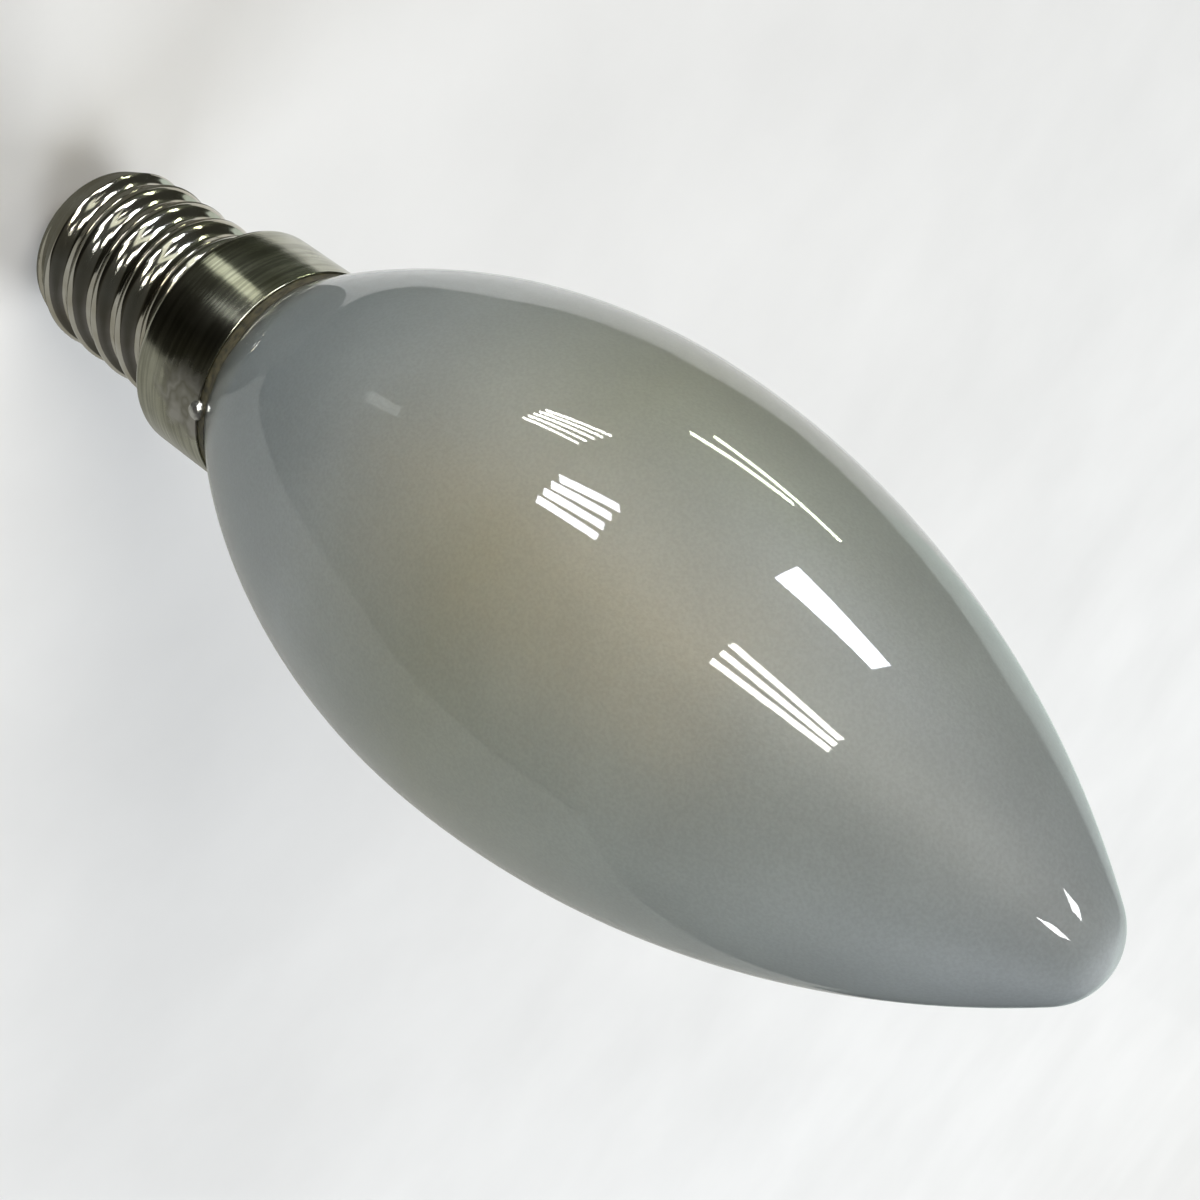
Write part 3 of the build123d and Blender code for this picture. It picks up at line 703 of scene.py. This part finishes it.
# %% Soft boxes
def soft_box(name, place_mm, aim_mm, size_mm, watts, colour):
    """A square area lamp at a place, turned to a point."""
    light = bpy.data.lights.new(name, "AREA")
    light.size = size_mm * MM
    light.energy = watts
    light.color = linear(colour)[:3]
    box = bpy.data.objects.new(name, light)
    box.location = Vector(place_mm) * MM
    box.rotation_euler = (Vector(place_mm) - Vector(aim_mm)).to_track_quat("Z", "Y").to_euler()
    box.visible_glossy = False
    bpy.context.scene.collection.objects.link(box)
    print(name, watts, "W")


soft_box("key_box", (-300, -540, 430), (0, 0, 50), 450, 3.8, "#fffaf2")
soft_box("fill_box", (560, 40, 420), (0, 0, 50), 420, 2.2, "#f2f7ff")
soft_box("back_box", (-60, 620, 620), (0, 150, 0), 600, 5.8, "#fafcff")

# %% [markdown]
# ## What the lamp mirrors
# Smooth glass and bright plate take their look from what stands round them. The places were found
# backwards: the line of sight to a point on the lamp is mirrored there, and where it ends, something
# must stand that has the tone of that point. So the room is dim, its dark side begins at the foot of
# the lamp, and pale floor lies behind. The cards are seen by mirror rays only and light nothing.

# %% Room walls
ROOM_RADIUS, WALL_TONE = 600, "#3b3c37"


def glow(name, colour, strength):
    """A plain glowing finish for a card or a tube."""
    material, tree, out = finish_named(name)
    shader = add(tree, "ShaderNodeEmission", Color=linear(colour), Strength=strength)
    tree.links.new(shader.outputs[0], out.inputs[0])
    return material


def glow_across(name, left_mm, right_mm, stops):
    """A glowing finish whose tone changes along X."""
    material, tree, out = finish_named(name)
    place = add(tree, "ShaderNodeTexCoord").outputs["Object"]
    across = add(tree, "ShaderNodeSeparateXYZ", s0=place).outputs["X"]
    share = add(tree, "ShaderNodeMapRange", Value=across, From_Min=left_mm * MM, From_Max=right_mm * MM)
    shade = add(tree, "ShaderNodeValToRGB", s0=share, stops=stops)
    shader = add(tree, "ShaderNodeEmission", Color=shade, Strength=1.0)
    tree.links.new(shader.outputs[0], out.inputs[0])
    return material


def only_mirrored(thing, material):
    """Gives a thing of the studio its finish and lets only mirror rays see it."""
    thing.data.materials.append(material)
    for ray in ("camera", "diffuse", "transmission", "volume_scatter", "shadow"):
        setattr(thing, "visible_" + ray, False)
    print(thing.name, "with", material.name, "for mirror rays")


bm = bmesh.new()
bmesh.ops.create_uvsphere(bm, u_segments=48, v_segments=24, radius=ROOM_RADIUS * MM)
walls = glow_across("dim_room_walls", -ROOM_RADIUS, ROOM_RADIUS, [
    (0.6, WALL_TONE), (0.85, "#4a4a46"), (1.0, "#626160")])
only_mirrored(stage_mesh(bm, "room_walls"), walls)

# %% [markdown]
# On the floor lie a dark card on the near side, which gives the plate its depth and the glass its
# darker middle, and a grey card on the right, which fades into the pale floor behind. Their edges draw
# the edges of the pale bands on the lamp, so they are listed point by point. A small dark disc stands
# for the shadow under the cap.

# %% Dark floor card
DARK_LEVEL, SHADOW_LEVEL, PATCH_LEVEL = 0.3, 0.4, 0.5


def floor_card(name, outline, height_mm, material):
    """A card that lies on the floor, from its outline in mm."""
    only_mirrored(stage_sheet(name, [(x, y, height_mm) for x, y in outline]), material)


left_edge = [(-8, -11), (-19, -5), (-24, 1), (-30, 6), (-38, 7), (-48, 10), (-71, 28), (-99, 53),
             (-128, 94), (-195, 153), (-375, 306), (-900, 760)]
right_edge = [(900, -120), (60, -40), (32, -27), (23, -22), (14, -17), (7, -13.5), (0, -12.5)]
dusk = glow_across("dark_side_of_the_room", -40, 40, [
    (0.0, "#565a50"), (0.25, "#383a31"), (0.45, "#1f1e18"), (0.6, "#14130f"), (0.78, "#2a2922"),
    (0.9, "#3a3933")])
floor_card("dark_card", left_edge + [(-900, -900), (900, -900)] + right_edge, DARK_LEVEL, dusk)

# %% Grey floor card and shadow
SHADOW_X, SHADOW_RADIUS, GREY_FADE = -5, 14, radians(22)
grey_side, tree, out = finish_named("grey_side_of_the_room")
place = add(tree, "ShaderNodeTexCoord").outputs["Object"]
ways = add(tree, "ShaderNodeSeparateXYZ", s0=place).outputs
bearing = add(tree, "ShaderNodeMath", {"operation": "ARCTAN2"}, s0=ways["X"], s1=ways["Y"])
share = add(tree, "ShaderNodeMapRange", Value=bearing, From_Min=0.0, From_Max=GREY_FADE)
shade = add(tree, "ShaderNodeValToRGB", s0=share, stops=[(0.0, "#e0e2df"), (1.0, "#a8a8a2")])
shader = add(tree, "ShaderNodeEmission", Color=shade, Strength=1.0)
tree.links.new(shader.outputs[0], out.inputs[0])
floor_card("grey_card", right_edge[::-1] + [(900, 900), (0, 900), (0, 10), (-8, -11)], DARK_LEVEL, grey_side)
disc = [(SHADOW_X + SHADOW_RADIUS * cos(radians(turn)), SHADOW_RADIUS * sin(radians(turn)))
        for turn in range(0, 360, 15)]
floor_card("lamp_shadow", disc, SHADOW_LEVEL, glow("shadow_under_the_lamp", "#66665f", 1.0))

# %% [markdown]
# Three more cards are pale. A strip close to the skirt draws the streak on the plate. It hardly glows on
# its outer side, so that the glass above doesn't show it. A patch on the floor draws the faint mark near
# the neck. A far wall behind draws the pale line round the tip, and fades out at its top and end.

# %% Pale cards
WALL_MIDDLE, WALL_PALE, WALL_DIM = (-150, 215, 80), 190, 300


def mirror_card(name, corners, material):
    """A flat card from its corners in mm."""
    only_mirrored(stage_sheet(name, corners), material)


strip_light, tree, out = finish_named("strip_of_daylight")
turned_away = add(tree, "ShaderNodeNewGeometry").outputs["Backfacing"]
level = add(tree, "ShaderNodeMapRange", Value=turned_away, To_Min=1.1, To_Max=0.1)
shader = add(tree, "ShaderNodeEmission", Color=linear("#fbffee"), Strength=level)
tree.links.new(shader.outputs[0], out.inputs[0])
mirror_card("bright_strip", [(-5.5, -9.4, 23), (-4.5, -10.4, 23), (-7.3, -12.5, 13), (-9.1, -10.7, 13)],
            strip_light)
floor_card("floor_patch", [(-8.4, -37.3), (-12.2, -36.1), (-15.5, -46.5), (-11.7, -47.7)], PATCH_LEVEL,
           glow("patch_of_daylight", "#eef2f0", 1.4))
far_wall, tree, out = finish_named("pale_far_wall")
place = add(tree, "ShaderNodeTexCoord").outputs["Object"]
off_middle = add(tree, "ShaderNodeVectorMath", {"operation": "DISTANCE"}, s0=place,
                 s1=Vector(WALL_MIDDLE) * MM)
fade = add(tree, "ShaderNodeMapRange", Value=off_middle, From_Min=WALL_PALE * MM, From_Max=WALL_DIM * MM)
shade = add(tree, "ShaderNodeValToRGB", s0=fade, stops=[(0.0, "#d8e5e0"), (1.0, WALL_TONE)])
shader = add(tree, "ShaderNodeEmission", Color=shade, Strength=1.0)
tree.links.new(shader.outputs[0], out.inputs[0])
mirror_card("back_card", [(-215, 171, 0), (180, 380, 0), (180, 380, 390), (-75, 245, 390), (-145, 208, 142),
                          (-215, 171, 88)], far_wall)

# %% [markdown]
# The bright streaks on the glass are the room's lamps: rows of ceiling tubes in front and to the left, a
# window, and two small lamps high up that show beside the tip. A tube is a bright strip that faces the
# lamp, and a row is laid out between its first and its last tube.

# %% Ceiling tubes and window
LAMP_MIDDLE = Vector((0, 0, 60))


def tube(name, start, end, width_mm, light, taper=1.0):
    """A bright strip between two points in mm. Taper is the width of its end against its start."""
    start, end = Vector(start), Vector(end)
    side = (end - start).cross(start - LAMP_MIDDLE).normalized() * width_mm / 2
    mirror_card(name, [start - side, start + side, end + side * taper, end - side * taper], light)


def tube_row(name, first, last, count, width_mm, light):
    """A row of tubes, from the two ends of its first tube and of its last one."""
    for number in range(count):
        share = number / (count - 1)
        ends = [Vector(a).lerp(Vector(b), share) for a, b in zip(first, last)]
        tube(f"{name}_{number + 1}", *ends, width_mm, light)


warm_white = glow("warm_white_tube", "#fffdf4", 30)
cool_white = glow("cool_white_tube", "#f6f7ff", 30)
green_white = glow("green_white_tube", "#f6ffe0", 26)
tube_row("near_row", [(-53, -62, 7), (-60, -63, 21)], [(-61, -55, 10), (-71, -52, 24)], 5, 1.5, warm_white)
tube_row("front_row", [(-39, -119, 6), (-44, -124, 29)], [(-61, -109, 7), (-72, -110, 27)], 4, 6.2,
         cool_white)
tube_row("far_row", [(-46, -310, 98), (-44, -285, 196)], [(-102, -296, 100), (-84, -276, 196)], 3, 15,
         warm_white)
tube("side_tube", (-153, -13, 11), (-160, -3, 60), 4.5, green_white)
tube("side_tube_short", (-150, -29, 7), (-158, -14, 44), 4.5, green_white)
tube("window", (-268, -160, 72), (-262, -150, 156), 64, glow("daylight_window", "#eef3ff", 30), taper=0.76)
small_lamp = glow("small_white_lamp", "#ffffff", 26)
tube("upper_left", (-260, -104, 380), (-210, -134, 408), 20, small_lamp)
tube("upper_front", (-31, -228, 423), (-14, -205, 439), 36, small_lamp)

# %% [markdown]
# ## The camera
# The view is a close one, 158 mm from the middle of the lamp and 29 degrees above the floor, so the
# glass looks larger towards its tip. The camera is rolled until the tip points to the lower right. The
# distance, the tilt and the lens were fitted together, so that the outline of the lamp falls in place.

# %% Camera
DISTANCE, ELEVATION, ROLL, LENS = 158.2, radians(29.4), radians(-125.8), 73.85
AIM = Vector((-0.24, 0, 55.3))
camera_data = bpy.data.cameras.new("camera")
camera_data.lens = LENS
camera_data.sensor_width = 36
camera_data.clip_start = 0.01
camera_data.clip_end = 20
camera = bpy.data.objects.new("camera", camera_data)
view = Vector((0, cos(ELEVATION), -sin(ELEVATION)))
level = Vector((1, 0, 0))
upright = Vector((0, sin(ELEVATION), cos(ELEVATION)))
right = cos(ROLL) * level - sin(ROLL) * upright
up = sin(ROLL) * level + cos(ROLL) * upright
turned = Matrix((right, up, -view)).transposed().to_4x4()
camera.matrix_world = Matrix.Translation((AIM - DISTANCE * view) * MM) @ turned
bpy.context.scene.collection.objects.link(camera)
bpy.context.scene.camera = camera
bpy.context.scene.view_settings.view_transform = "Standard"
print("camera at", [round(c / MM, 1) for c in camera.location], "mm")

# %% [markdown]
# ## Sizes
# The bounds of the solids were kept at the start. They are written beside those of the finished lamp,
# so that a change of size would show.

# %% Sizes and the end
sizes = {"cad": [list(corner) for corner in cad_bounds],
         "visual": [list(corner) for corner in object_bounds()]}
for name, (low, high) in sizes.items():
    print(name, [round((b - a) / MM, 2) for a, b in zip(low, high)], "mm")
